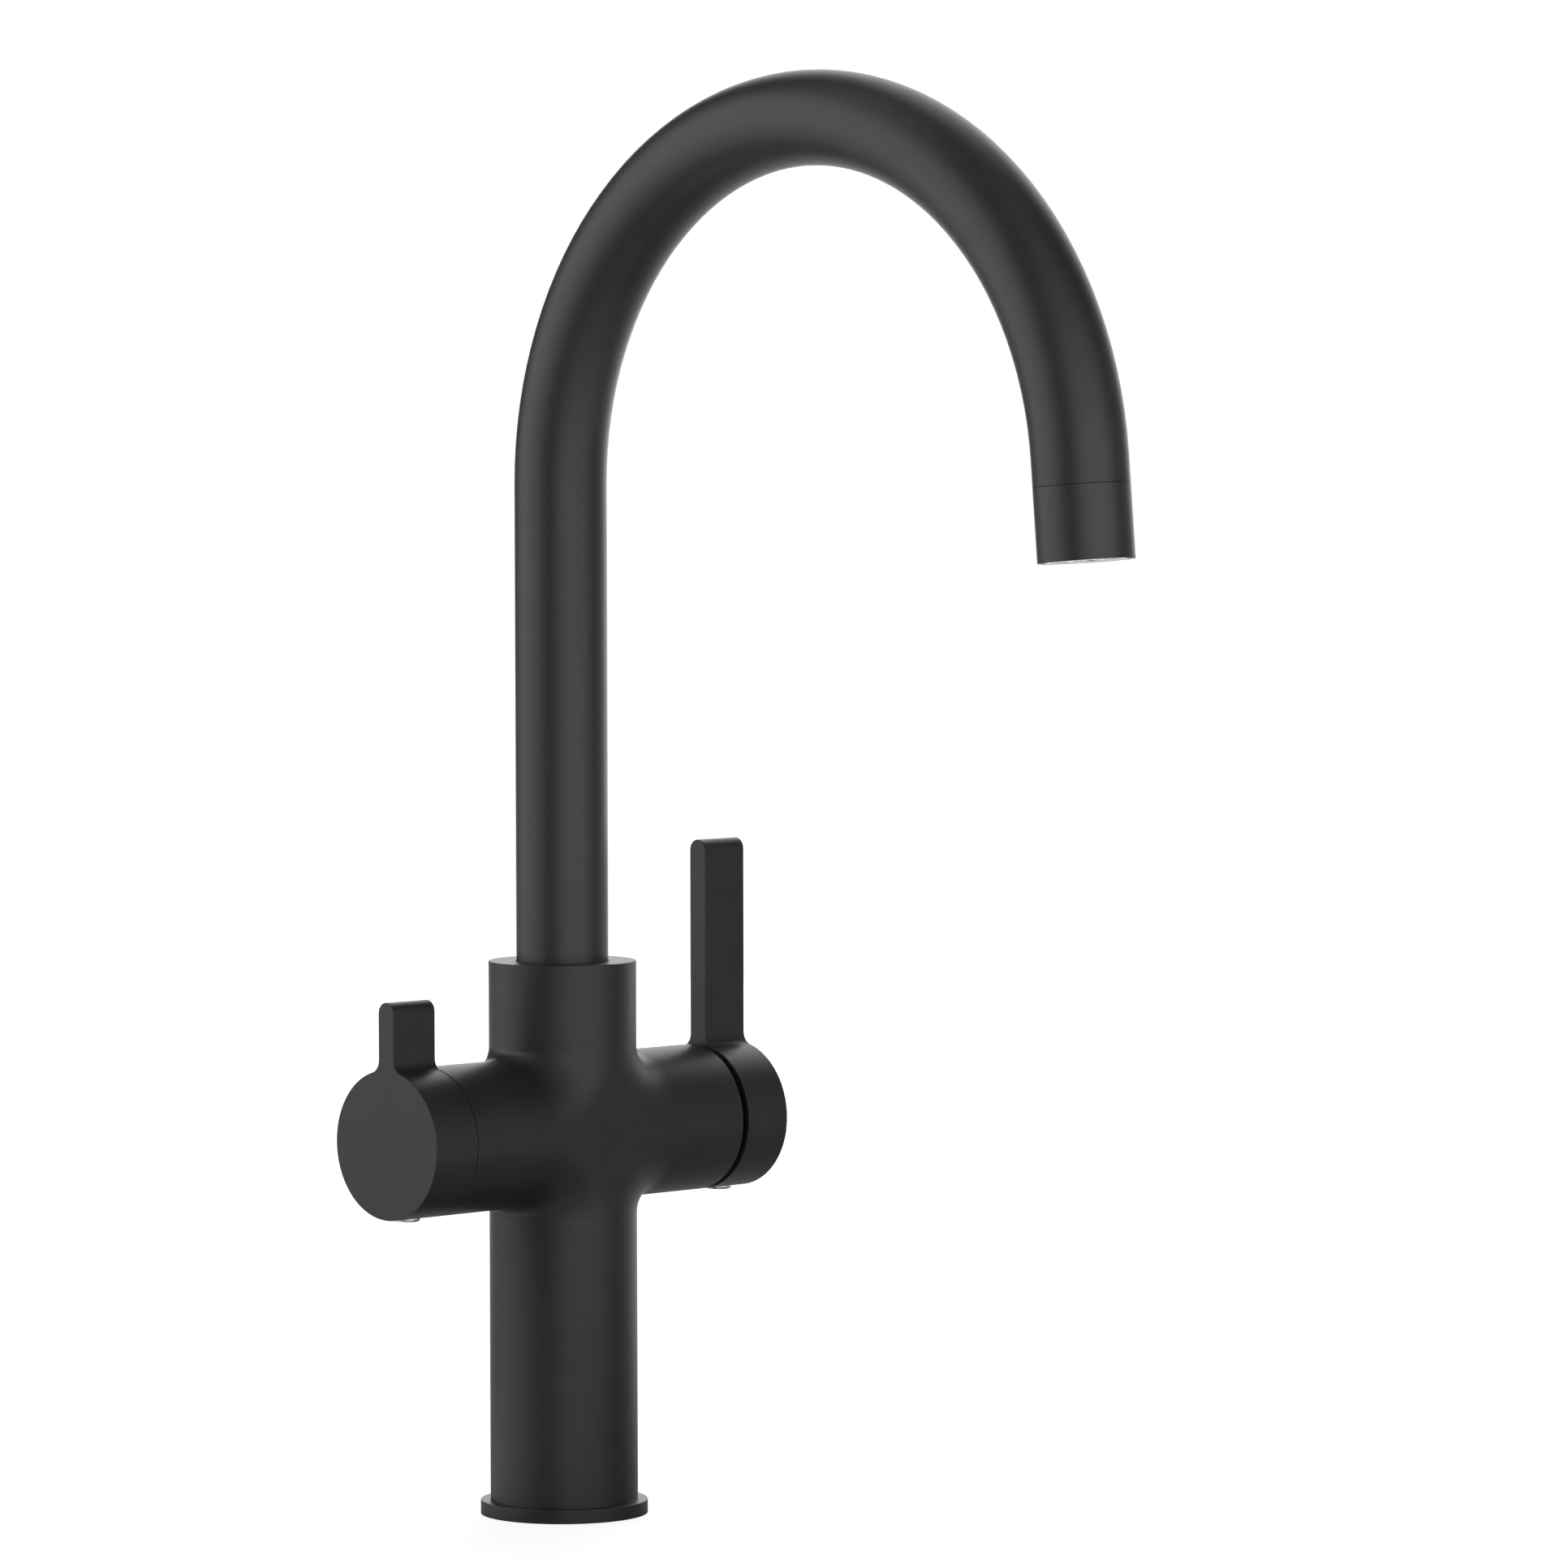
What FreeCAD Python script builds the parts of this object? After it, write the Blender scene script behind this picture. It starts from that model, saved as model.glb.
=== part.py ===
import FreeCAD, Part
import math
import os

# Three-way kitchen tap: a hot and cold mixer on one side, filtered water on the other.
# Millimetres. The origin is on the worktop under the column's axis, +Z is up, the spout points
# to -Y, the mixer lever is on +X and the filtered-water lever on -X.

# Clearances
fit = 0.05
running_fit = 0.08
film = 0.05
clearance = 0.3

# Base ring
base_ring_height = 4.2
base_ring_overhang = 3.0
base_ring_lap = 2.4
base_seal_section = 2.2

# Column and barrel, one diameter, with the blend where they cross
body_diameter = 45.0
column_rise = 51.5
barrel_height = 117.5
barrel_half_length = 55.0
blend_along_column = 3.0
blend_along_barrel = 5.5
edge_break = 0.2

# Hose inlets, stud and waterways
inlet_spacing = 15.0
inlet_core_diameter = 9.0
inlet_depth = 14.0
stud_core_diameter = 6.8
stud_depth = 18.0
waterway_diameter = 6.0

# Spout tube
tube_diameter = 28.0
tube_wall = 1.2
tube_rise = 145.0
bend_radius = 108.0
bend_angle = 175.0
tube_run_out = 8.0

# Spout socket and tail
socket_depth = 12.0
bush_thickness = 1.5
tail_reach = 20.0
tail_grip = 14.0
tail_step = 0.6
tail_bore_diameter = 17.0
tail_chamber_depth = 2.0
tail_ring_inset = 4.0
tail_ring_pitch = 4.5
tail_ring_groove = 1.9
snap_ring_inset = 3.0
snap_ring_width = 1.6
snap_ring_depth = 0.9

# Inner tube for filtered water
filter_tube_diameter = 8.0
filter_tube_wall = 1.0
filter_pocket_depth = 6.0
filter_seal_section = 1.6
filter_passage_rise = 7.5

# Nozzle and aerator
nozzle_length = 21.6
nozzle_seam = 0.2
nozzle_spigot_length = 8.0
nozzle_bore_diameter = 21.0
nozzle_ring_groove = 1.4
aerator_diameter = 23.8
aerator_length = 13.0
aerator_inset = 0.6
aerator_wall = 1.6
aerator_boss_wall = 1.3
aerator_plate_thickness = 2.0
aerator_washer_thickness = 1.2
aerator_screen_thickness = 0.8
aerator_hole_diameter = 1.5
aerator_hole_count = 16

# Mixer cartridge
cartridge_diameter = 35.0
cartridge_depth = 40.0
cartridge_base_thickness = 4.0
cartridge_wall = 1.2
disc_thickness = 3.5
moving_disc_diameter = 25.0
carrier_diameter = 24.0
carrier_thickness = 4.5
carrier_flat = 20.0
turret_length = 10.4
turret_neck_diameter = 26.4
turret_lip = 1.6
turret_stand = 2.0
pivot_inset = 5.6
lever_pin_diameter = 4.0
lever_ball_diameter = 5.6
lever_neck_diameter = 4.0
stem_width = 8.0
port_spread = 5.5
outlet_port_drop = 8.0
port_seal_width = 1.4
port_seal_thickness = 1.6
locating_peg_diameter = 3.0
locating_peg_length = 2.5
locating_peg_reach = 13.0
nut_thread_depth = 1.75
nut_thickness = 6.0
nut_slot_width = 3.0
nut_slot_depth = 2.0
dome_thickness = 1.2
flow_tilt = 20.0

# Filtered-water headwork
headwork_depth = 38.0
seat_seal_thickness = 1.2
headwork_core_diameter = 20.6
headwork_recess_depth = 13.0
headwork_recess_diameter = 36.0
headwork_nose_diameter = 16.8
headwork_bore_diameter = 13.0
headwork_flange_flats = 24.0
headwork_flange_thickness = 4.0
headwork_neck_diameter = 15.0
headwork_neck_length = 4.0
headwork_gasket_thickness = 1.0
headwork_web = 1.0
filter_disc_thickness = 3.0
filter_disc_port_diameter = 3.6
filter_disc_port_spread = 3.3
spindle_diameter = 9.86
spindle_collar_length = 5.0
spindle_end_diameter = 8.0
spindle_ring_groove = 1.5
spindle_flat_depth = 0.6
clip_thickness = 1.0
clip_diameter = 13.6

# Handles
handle_width = 16.7
filter_gap = 0.3
mixer_gap = 2.3
tab_thickness = 6.7
tab_root_radius = 4.0
filter_tab_rise = 42.8
mixer_tab_rise = 85.8
handle_skirt = 1.5
filter_cavity_depth = 5.0
handle_boss_diameter = 14.0
handle_end_wall = 3.5
screw_diameter = 5.0
screw_length = 8.0
screw_socket_flats = 2.5
screw_socket_depth = 2.5
screw_inset = 8.8
plug_diameter = 8.2
plug_thickness = 1.1
plug_stem_length = 4.0

# Values that follow from the driving dimensions
X_AXIS = FreeCAD.Vector(1, 0, 0)
Y_AXIS = FreeCAD.Vector(0, 1, 0)
Z_AXIS = FreeCAD.Vector(0, 0, 1)
body_radius = body_diameter / 2
hub_reach = body_radius + blend_along_barrel
hub_rise = body_radius + blend_along_column
ring_radius = body_radius + base_ring_overhang
spigot_radius = body_radius - base_ring_lap
column_height = barrel_height + column_rise
inlet_offset = inlet_spacing / 2
waterway_radius = waterway_diameter / 2
tube_radius = tube_diameter / 2
tube_bore_radius = tube_radius - tube_wall
socket_floor = column_height - socket_depth
tube_foot = socket_floor + bush_thickness
tail_radius = tube_bore_radius - tail_step
tail_foot = socket_floor - tail_reach
chamber_floor = tail_foot - tail_chamber_depth
spring_height = column_height + tube_rise
filter_tube_radius = filter_tube_diameter / 2
pocket_floor = chamber_floor - filter_pocket_depth
cartridge_radius = cartridge_diameter / 2
housing_bore_radius = cartridge_radius - cartridge_wall
cartridge_seat = barrel_half_length - cartridge_depth
filter_seat = barrel_half_length - headwork_depth
fixed_disc_start = cartridge_seat + cartridge_base_thickness
moving_disc_start = fixed_disc_start + disc_thickness + film
carrier_start = moving_disc_start + disc_thickness
turret_start = carrier_start + carrier_thickness + clearance
turret_shoulder = turret_start + turret_length
housing_end = turret_shoulder + clearance + turret_lip
turret_end = housing_end + turret_stand
pivot_x = turret_start + pivot_inset
ball_x = carrier_start + clearance + lever_ball_diameter / 2
turret_radius = housing_bore_radius - running_fit
nut_radius = cartridge_radius + nut_thread_depth
nut_end = housing_end + nut_thickness
tilt = math.radians(flow_tilt)
dome_radius = math.hypot(nut_end - pivot_x, nut_radius)
dome_opening = dome_radius * math.sin(tilt) + stem_width * math.sqrt(0.5) + 2 * clearance
mixer_near = barrel_half_length + mixer_gap
filter_near = barrel_half_length + filter_gap
stem_end = mixer_near + handle_width - handle_end_wall
spindle_end = filter_near + handle_width - handle_end_wall
screw_start = stem_width / 2


def at(x, y, z):
    return FreeCAD.Vector(x, y, z)


def on_barrel(x, y=0.0, z=0.0):
    """A point given from the barrel's axis."""
    return at(x, y, barrel_height + z)


def drill(start, end, radius):
    """A round bar between two points, for passages and holes."""
    return Part.makeCylinder(radius, (end - start).Length, start, end - start)


def along_barrel(x_from, x_to, radius, y=0.0, z=0.0):
    return drill(on_barrel(x_from, y, z), on_barrel(x_to, y, z), radius)


def block(x_from, x_to, y_half, z_low, z_high):
    """A box about the barrel's axis, mirrored left and right of it."""
    low = on_barrel(min(x_from, x_to), -y_half, z_low)
    return Part.makeBox(abs(x_to - x_from), 2 * y_half, z_high - z_low, low)


def turned(profile):
    """A lathe-turned solid about +Z from corner points (radius, height)."""
    points = [at(radius, 0, height) for radius, height in profile]
    outline = Part.makePolygon(points + points[:1])
    return Part.Face(outline).revolve(at(0, 0, 0), Z_AXIS, 360)


def ring(inner, outer, low, high):
    return turned([(inner, low), (outer, low), (outer, high), (inner, high)])


def laid_on_barrel(shape, side):
    """Lays a solid made about +Z along the barrel, outwards on +X (side 1) or on -X (side -1)."""
    turn = FreeCAD.Rotation(Z_AXIS, side * X_AXIS)
    shape.Placement = FreeCAD.Placement(on_barrel(0), turn)
    return shape


def o_ring(inner, outer, height):
    """A round-section ring about +Z between two radii."""
    section = (outer - inner) / 2
    return Part.makeTorus(inner + section, section, at(0, 0, height), Z_AXIS)


def at_outlet(shape):
    """Moves a solid made about +Z to the spout's end, where +Z points along the flow."""
    angle = math.radians(bend_angle)
    run_y = bend_radius * (math.cos(angle) - 1) - tube_run_out * math.sin(angle)
    run_z = bend_radius * math.sin(angle) + tube_run_out * math.cos(angle)
    turn = FreeCAD.Rotation(X_AXIS, bend_angle)
    shape.Placement = FreeCAD.Placement(at(0, run_y, spring_height + run_z), turn)
    return shape


def bent_tube(outer, inner, foot, run_out):
    """A tube up the column's axis, round the bend and straight on for run_out."""
    straight = ring(inner, outer, foot, spring_height)
    edges = [Part.makeCircle(radius, at(0, 0, spring_height), Z_AXIS) for radius in (outer, inner)]
    section = Part.Face([Part.Wire(edge) for edge in edges])
    bend = section.revolve(at(0, -bend_radius, spring_height), X_AXIS, bend_angle)
    end = at_outlet(ring(inner, outer, -tube_run_out, run_out - tube_run_out))
    return straight.fuse([bend, end]).removeSplitter()


def rounded_rims(shape, radius, plane_axis, places):
    """Breaks the sharp edges that lie in planes square to an axis."""
    rims = []
    for edge in shape.Edges:
        reach = edge.BoundBox
        low = at(reach.XMin, reach.YMin, reach.ZMin).dot(plane_axis)
        high = at(reach.XMax, reach.YMax, reach.ZMax).dot(plane_axis)
        if any(abs(low - place) < film and abs(high - place) < film for place in places):
            rims.append(edge)
    return shape.makeFillet(radius, rims)


def base_ring():
    seal_radius = (ring_radius + spigot_radius) / 2
    half = base_seal_section / 2 + fit
    shape = turned([
        (spigot_radius + fit, 0), (seal_radius - half, 0), (seal_radius - half, base_seal_section),
        (seal_radius + half, base_seal_section), (seal_radius + half, 0), (ring_radius, 0),
        (ring_radius, base_ring_height), (spigot_radius + fit, base_ring_height),
    ])
    top = [edge for edge in shape.Edges
           if abs(edge.BoundBox.XMax - ring_radius) < film and edge.BoundBox.ZMin > base_ring_height / 2]
    seal = o_ring(seal_radius - base_seal_section / 2, seal_radius + base_seal_section / 2,
                  base_seal_section / 2)
    return shape.makeFillet(edge_break, top), seal


def flat_faces(faces, axis, places):
    """Flat faces closed by those edges of other faces that lie in planes square to an axis."""
    closing = []
    for place in places:
        rim = []
        for edge in [edge for face in faces for edge in face.Edges]:
            ends = [edge.valueAt(edge.getParameterByLength(share * edge.Length)) for share in (0, 0.5, 1)]
            if all(abs(point.dot(axis) - place) < film for point in ends):
                rim.append(edge)
        closing.append(Part.Face(Part.Wire(Part.__sortEdges__(rim))))
    return closing


def blended_hub():
    """The crossing of column and barrel. Every slice along the two axes is a plus whose inner corners
    are quarter ellipses about the same four centres, so the front and the back come out flat."""
    slant = math.sqrt(0.5)
    half_turn = [(0, -1, 1), (1, -1, slant), (1, 0, 1), (1, 1, slant), (0, 1, 1)]
    quarter_turn = [(-1, 0, 1), (-1, -1, slant), (0, -1, 1)]
    corners = []
    for side_x, side_z in ((-1, -1), (-1, 1), (1, -1), (1, 1)):
        poles = []
        weights = []
        for wide, across, half_weight in half_turn:
            reach = hub_reach - body_radius * wide
            rise = hub_rise - body_radius * wide
            poles.append([on_barrel(side_x * (hub_reach + reach * out), body_radius * across,
                                    side_z * (hub_rise + rise * up)) for out, up, weight in quarter_turn])
            weights.append([half_weight * weight for out, up, weight in quarter_turn])
        patch = Part.BSplineSurface()
        patch.buildFromPolesMultsKnots(poles, (3, 2, 3), (3, 3), (0, 1, 2), (0, 1),
                                       False, False, 2, 2, weights)
        corners.append(patch.toShape())
    faces = corners + flat_faces(corners, Y_AXIS, (-body_radius, body_radius))
    faces += flat_faces(corners, X_AXIS, (-hub_reach, hub_reach))
    faces += flat_faces(corners, Z_AXIS, (barrel_height - hub_rise, barrel_height + hub_rise))
    skin = Part.Shell(faces)
    skin.sewShape()
    return Part.Solid(skin)


def cross_casting():
    """Column and barrel as one casting, blended where they cross."""
    arms = [drill(at(0, 0, base_ring_height), on_barrel(0, 0, -hub_rise), body_radius)]
    neck = drill(on_barrel(0, 0, hub_rise), at(0, 0, column_height), body_radius)
    arms.append(rounded_rims(neck, edge_break, Z_AXIS, (column_height,)))
    for side in (-1, 1):
        arm = along_barrel(side * hub_reach, side * barrel_half_length, body_radius)
        arms.append(rounded_rims(arm, edge_break, X_AXIS, (side * barrel_half_length,)))
    arms.append(drill(at(0, 0, 0), at(0, 0, base_ring_height), spigot_radius))
    return blended_hub().fuse(arms)


def waterways():
    """Cored passages from the hose inlets to the valves, and from the valves to the spout."""
    passages = []
    inlet_z = barrel_height + port_spread
    outlet_z = barrel_height - outlet_port_drop
    outlet_x = (filter_tube_radius + filter_seal_section + tail_radius) / 2
    for side in (-1, 1):
        foot = at(inlet_offset, side * inlet_offset, 0)
        bend = at(inlet_offset, side * inlet_offset, inlet_z + waterway_radius)
        port = at(inlet_offset, side * inlet_offset, inlet_z)
        passages.append(drill(foot, bend, waterway_radius))
        passages.append(drill(port, at(cartridge_seat, port.y, port.z), waterway_radius))
    passages.append(drill(at(cartridge_seat, 0, outlet_z), at(outlet_x, 0, outlet_z), waterway_radius))
    passages.append(drill(at(outlet_x, 0, outlet_z), at(outlet_x, 0, chamber_floor), waterway_radius))
    filter_foot = at(-inlet_offset, -inlet_offset, 0)
    filter_top = at(-inlet_offset, -inlet_offset, barrel_height)
    passages.append(drill(filter_foot, filter_top + waterway_radius * Z_AXIS, waterway_radius))
    passages.append(drill(filter_top, on_barrel(-inlet_offset), waterway_radius))
    passages.append(along_barrel(-inlet_offset + waterway_radius, -filter_seat, waterway_radius))
    passage_z = barrel_height + filter_passage_rise
    far = at(-filter_seat - waterway_diameter, 0, passage_z)
    passages.append(drill(at(waterway_radius, 0, passage_z), far, waterway_radius))
    passages.append(drill(at(0, 0, passage_z), at(0, 0, pocket_floor), filter_tube_radius - filter_tube_wall))
    return passages


def body_casting():
    cuts = waterways()
    for x, y, core, depth in (
        (inlet_offset, inlet_offset, inlet_core_diameter, inlet_depth),
        (inlet_offset, -inlet_offset, inlet_core_diameter, inlet_depth),
        (-inlet_offset, -inlet_offset, inlet_core_diameter, inlet_depth),
        (-inlet_offset, inlet_offset, stud_core_diameter, stud_depth),
    ):
        cuts.append(drill(at(x, y, 0), at(x, y, depth), core / 2))
    cuts.append(drill(at(0, 0, socket_floor), at(0, 0, column_height), tube_radius + clearance))
    cuts.append(drill(at(0, 0, chamber_floor), at(0, 0, socket_floor), tail_radius + running_fit))
    snap_low = tail_foot + snap_ring_inset
    snap_high = snap_low + snap_ring_width + 2 * running_fit
    cuts.append(drill(at(0, 0, snap_low), at(0, 0, snap_high), tail_radius + snap_ring_depth + running_fit))
    cuts.append(drill(at(0, 0, pocket_floor), at(0, 0, chamber_floor), filter_tube_radius + running_fit))
    seal_z = (pocket_floor + chamber_floor) / 2
    seal_groove = filter_tube_radius + running_fit + filter_seal_section
    cuts.append(drill(at(0, 0, seal_z - filter_seal_section / 2), at(0, 0, seal_z + filter_seal_section / 2),
                      seal_groove))
    cuts.append(along_barrel(cartridge_seat, housing_end, cartridge_radius + fit))
    cuts.append(along_barrel(housing_end - 2 * clearance, barrel_half_length, nut_radius + fit))
    for y in (-1, 1):
        peg_y = y * locating_peg_reach * math.sqrt(0.5)
        peg_z = -locating_peg_reach * math.sqrt(0.5)
        cuts.append(along_barrel(cartridge_seat - locating_peg_length - fit, cartridge_seat,
                                 locating_peg_diameter / 2 + fit, peg_y, peg_z))
    recess_floor = barrel_half_length - headwork_recess_depth
    cuts.append(along_barrel(-recess_floor, -filter_seat, headwork_core_diameter / 2))
    cuts.append(along_barrel(-barrel_half_length, -recess_floor, headwork_recess_diameter / 2))
    return cross_casting().cut(cuts)


def spout_pieces():
    """Tube, tail with its rings, thrust bush and snap ring, and the inner tube for filtered water."""
    tube = bent_tube(tube_radius, tube_bore_radius, tube_foot, tube_run_out)
    groove_floor = tail_radius - tail_ring_groove
    bore = tail_bore_diameter / 2
    socket_bore = tail_radius + running_fit
    tail = ring(bore, tail_radius, tail_foot, tube_foot)
    tail = tail.fuse(ring(bore, tube_bore_radius - fit, tube_foot, tube_foot + tail_grip)).removeSplitter()
    rings = []
    for count in range(2):
        height = socket_floor - tail_ring_inset - count * tail_ring_pitch
        seal = o_ring(groove_floor, socket_bore - film, height)
        half = (socket_bore - film - groove_floor) / 2 + fit
        tail = tail.cut(ring(groove_floor, tube_radius, height - half, height + half))
        rings.append(seal)
    snap_low = tail_foot + snap_ring_inset
    snap_floor = tail_radius - snap_ring_depth
    tail = tail.cut(ring(snap_floor, tube_radius, snap_low, snap_low + snap_ring_width + 2 * running_fit))
    snap = ring(snap_floor, tail_radius + snap_ring_depth, snap_low + running_fit,
                snap_low + running_fit + snap_ring_width)
    slit = Part.makeBox(2 * tube_radius, snap_ring_width, 2 * snap_ring_width,
                        at(0, -snap_ring_width / 2, snap_low))
    bush = ring(tail_radius + running_fit, tube_radius, socket_floor, tube_foot)
    inner_run = tube_run_out + nozzle_length - aerator_inset - aerator_screen_thickness
    inner = bent_tube(filter_tube_radius, filter_tube_radius - filter_tube_wall,
                      pocket_floor + clearance, inner_run)
    seal_z = (pocket_floor + chamber_floor) / 2
    inner_seal = o_ring(filter_tube_radius + running_fit,
                        filter_tube_radius + running_fit + filter_seal_section, seal_z)
    return {
        "spout_tube": tube, "spout_tail": tail, "spout_tail_rings": Part.makeCompound(rings),
        "spout_bush": bush, "spout_snap_ring": snap.cut(slit), "filter_tube": inner,
        "filter_tube_seal": inner_seal,
    }


def nozzle_pieces():
    """Nozzle sleeve on the spout's end, with its seal and the aerator with a separate middle outlet."""
    spigot = tube_bore_radius - fit
    groove_floor = spigot - nozzle_ring_groove
    bore = nozzle_bore_diameter / 2
    aerator_radius = aerator_diameter / 2
    aerator_end = nozzle_length - aerator_inset
    housing_low = aerator_end - aerator_length
    recess_low = housing_low - aerator_washer_thickness
    half = (tube_bore_radius - groove_floor) / 2 + fit
    ring_at = -nozzle_spigot_length / 2
    sleeve = turned([
        (bore, -nozzle_spigot_length), (spigot, -nozzle_spigot_length), (spigot, ring_at - half),
        (groove_floor, ring_at - half), (groove_floor, ring_at + half), (spigot, ring_at + half),
        (spigot, 0), (tube_radius - nozzle_seam, 0), (tube_radius, nozzle_seam),
        (tube_radius, nozzle_length), (aerator_radius + fit, nozzle_length),
        (aerator_radius + fit, recess_low), (bore, recess_low),
    ])
    sleeve = rounded_rims(sleeve, edge_break, Z_AXIS, (nozzle_length,))
    seal = o_ring(groove_floor, tube_bore_radius, ring_at)
    washer = ring(aerator_radius - 2 * aerator_wall, aerator_radius, recess_low, housing_low)
    boss_bore = filter_tube_radius + fit
    boss = boss_bore + aerator_boss_wall
    shell = aerator_radius - aerator_wall
    plate_low = housing_low + aerator_plate_thickness
    plate_high = plate_low + aerator_plate_thickness
    screen_low = aerator_end - aerator_screen_thickness
    housing = turned([
        (boss_bore, plate_low), (shell, plate_low), (shell, housing_low), (aerator_radius, housing_low),
        (aerator_radius, aerator_end), (shell, aerator_end), (shell, plate_high), (boss, plate_high),
        (boss, aerator_end), (boss_bore, aerator_end),
    ])
    screen = ring(boss, shell, screen_low, aerator_end)
    hole_circle = (boss + shell) / 2
    for count in range(aerator_hole_count):
        angle = 2 * math.pi * count / aerator_hole_count
        centre = at(hole_circle * math.cos(angle), hole_circle * math.sin(angle), 0)
        hole = drill(centre, centre + nozzle_length * Z_AXIS, aerator_hole_diameter / 2)
        screen = screen.cut(hole)
        if count % 2 == 0:
            housing = housing.cut(hole)
    pieces = {
        "nozzle": sleeve, "nozzle_seal": seal, "aerator_washer": washer,
        "aerator_housing": housing, "aerator_screen": screen,
    }
    return {name: at_outlet(shape) for name, shape in pieces.items()}


def port_places():
    """Port centres on the mixer cartridge, as (y, z) from its axis: two inlets and the outlet."""
    return [(inlet_offset, port_spread), (-inlet_offset, port_spread), (0.0, -outlet_port_drop)]


def cartridge_pieces():
    """The mixer cartridge, its clamp nut and the dome that covers the nut."""
    base = along_barrel(cartridge_seat, fixed_disc_start, cartridge_radius)
    fixed = along_barrel(fixed_disc_start, fixed_disc_start + disc_thickness, housing_bore_radius - fit)
    seals = []
    for y, z in port_places():
        port = along_barrel(cartridge_seat, turret_start, waterway_radius, y, z)
        seal_end = cartridge_seat + port_seal_thickness
        pocket = along_barrel(cartridge_seat, seal_end, waterway_radius + port_seal_width, y, z)
        base = base.cut([port, pocket])
        fixed = fixed.cut(port)
        seals.append(pocket.cut(port))
    for y in (-1, 1):
        peg_y = y * locating_peg_reach * math.sqrt(0.5)
        peg_z = -locating_peg_reach * math.sqrt(0.5)
        base = base.fuse(along_barrel(cartridge_seat - locating_peg_length, fixed_disc_start,
                                      locating_peg_diameter / 2, peg_y, peg_z))
    lip = turret_neck_diameter / 2 + running_fit
    housing = laid_on_barrel(turned([
        (housing_bore_radius, fixed_disc_start), (cartridge_radius, fixed_disc_start),
        (cartridge_radius, housing_end), (lip, housing_end), (lip, turret_shoulder + clearance),
        (housing_bore_radius, turret_shoulder + clearance),
    ]), 1)
    nut = laid_on_barrel(ring(lip + clearance, nut_radius, housing_end, nut_end), 1)
    slot_low = nut_end - nut_slot_depth
    nut = nut.cut(block(slot_low, nut_end, nut_slot_width / 2, -nut_radius, nut_radius))
    nut = nut.cut(block(slot_low, nut_end, nut_radius, -nut_slot_width / 2, nut_slot_width / 2))
    ball = Part.makeSphere(dome_radius, on_barrel(pivot_x))
    hollow = Part.makeSphere(dome_radius - dome_thickness, on_barrel(pivot_x))
    far = pivot_x + 2 * dome_radius
    dome = ball.cut([hollow, along_barrel(pivot_x, far, dome_opening)])
    dome = dome.common(along_barrel(nut_end, far, nut_radius))
    return {
        "cartridge_base": base.removeSplitter(), "cartridge_port_seals": Part.makeCompound(seals),
        "cartridge_fixed_disc": fixed, "cartridge_housing": housing, "cartridge_nut": nut,
        "mixer_dome": dome,
    }


def lever_works():
    """Turret, pin, lever stem, disc carrier and moving disc inside the cartridge."""
    stem_half = stem_width / 2
    slot_half = (turret_end - pivot_x) * math.tan(tilt) + stem_half / math.cos(tilt) + clearance
    rail_low = carrier_start + carrier_thickness / 4
    rail_face = carrier_flat / 2 + film
    turret = along_barrel(rail_low, turret_shoulder, turret_radius)
    turret = turret.cut(block(rail_low, turret_start, rail_face, -cartridge_radius, cartridge_radius))
    turret = turret.fuse(along_barrel(turret_shoulder, turret_end, turret_neck_diameter / 2))
    turret = turret.cut(block(rail_low, turret_end, stem_half + clearance, -slot_half, slot_half))
    pin_reach = turret_radius - clearance
    pin = drill(on_barrel(pivot_x, -pin_reach), on_barrel(pivot_x, pin_reach), lever_pin_diameter / 2)
    turret = turret.removeSplitter().cut(pin)
    square_start = pivot_x - stem_half
    stem = block(square_start, stem_end, stem_half, -stem_half, stem_half)
    stem = stem.fuse(along_barrel(ball_x, square_start, lever_neck_diameter / 2))
    stem = stem.fuse(Part.makeSphere(lever_ball_diameter / 2, on_barrel(ball_x))).removeSplitter()
    stem = stem.cut(drill(on_barrel(pivot_x, -cartridge_radius), on_barrel(pivot_x, cartridge_radius),
                          lever_pin_diameter / 2 + running_fit))
    carrier_end = carrier_start + carrier_thickness
    carrier = along_barrel(carrier_start, carrier_end, carrier_diameter / 2)
    carrier = carrier.common(block(carrier_start, carrier_end, carrier_flat / 2, -cartridge_radius,
                                   cartridge_radius))
    pocket = lever_ball_diameter / 2 + clearance / 2
    carrier = carrier.cut(block(carrier_start, carrier_end, pocket, -pocket, pocket))
    moving = along_barrel(moving_disc_start, carrier_start, moving_disc_diameter / 2)
    mixing_top = port_spread - waterway_radius - clearance / 2
    mixing = block(moving_disc_start, moving_disc_start + disc_thickness / 2, inlet_offset,
                   -outlet_port_drop, mixing_top)
    return {
        "cartridge_turret": turret, "lever_pin": pin, "mixer_stem": stem, "disc_carrier": carrier,
        "cartridge_moving_disc": moving.cut(mixing),
    }


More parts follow.
